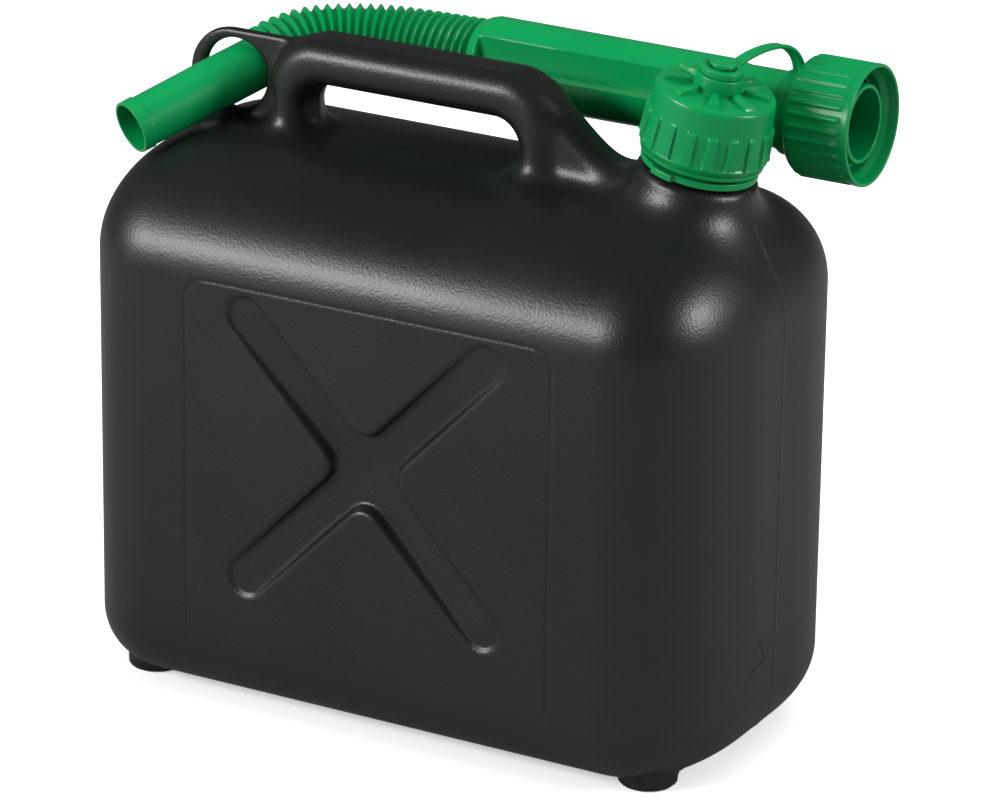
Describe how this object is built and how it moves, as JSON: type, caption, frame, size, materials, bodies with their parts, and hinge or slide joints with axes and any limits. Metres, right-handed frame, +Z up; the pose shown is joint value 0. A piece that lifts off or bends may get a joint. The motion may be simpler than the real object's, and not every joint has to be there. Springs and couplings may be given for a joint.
{
  "type": "jerry can",
  "caption": "Blow-moulded plastic fuel can with a top handle, a tilted threaded neck with a child-resistant screw cap on a tether, and a flexible pouring spout stored behind the handle",
  "frame": {"origin": "Middle of the whole can's box in plan, on the surface that the four feet stand on.", "axes": "+Z up. +X along the can's length towards the neck and cap. +Y across the can's width towards the stored spout; the handle lies in the XZ plane."},
  "size_m": [0.2754, 0.143, 0.2619],
  "materials": {
    "body_plastic": "black blow-moulded polyethylene, satin with a fine pebbled grain",
    "green_plastic": "green injection-moulded polyethylene, glossy",
    "seal_rubber": "black sealing rubber"
  },
  "bodies": {
    "can": {"can_body": "body_plastic", "neck_ring": "green_plastic"},
    "seal": {"cap_seal": "seal_rubber"},
    "insert": {"cap_inner": "green_plastic"},
    "shell": {"cap_outer": "green_plastic"},
    "spout": {"spout_tube": "green_plastic", "spout_bellows": "green_plastic", "spout_tip": "green_plastic", "spout_seal": "seal_rubber"},
    "nut": {"spout_nut": "green_plastic"},
    "tether": {"cap_tether": "green_plastic"}
  },
  "joints": [
    {"name": "cap_rise", "type": "slide", "parent": "can", "child": "seal", "axis": [0.2079, 0, 0.9781], "range_m": [0, 0.006]},
    {"name": "cap_turn", "type": "hinge", "parent": "seal", "child": "insert", "pos_m": [0.09125, 0, 0.2209], "axis": [0.2079, 0, 0.9781], "range_deg": [0, 542]},
    {"name": "cap_push", "type": "slide", "parent": "insert", "child": "shell", "axis": [-0.2079, 0, -0.9781], "range_m": [0, 0.0012], "stiffness_N_per_m": 1500, "springref_m": -0.001},
    {"name": "spout_draw", "type": "slide", "parent": "can", "child": "spout", "axis": [0.4439, 0.8468, 0.2929], "range_m": [0, 0.004]},
    {"name": "nut_spin", "type": "hinge", "parent": "spout", "child": "nut", "pos_m": [0.12445, 0.045, 0.231], "axis": [1, 0, 0], "continuous": true},
    {"name": "tether_lift", "type": "hinge", "parent": "spout", "child": "tether", "pos_m": [0.1, 0.045, 0.255], "axis": [-1, 0, 0], "range_deg": [0, 7.6], "deforming": ["cap_tether"]}
  ],
  "couplings": [
    {"joint": "cap_turn", "follows": "cap_rise", "rad_per_m": 1570.8},
    {"joint": "tether_lift", "follows": "cap_rise", "rad_per_m": 21.74}
  ]
}
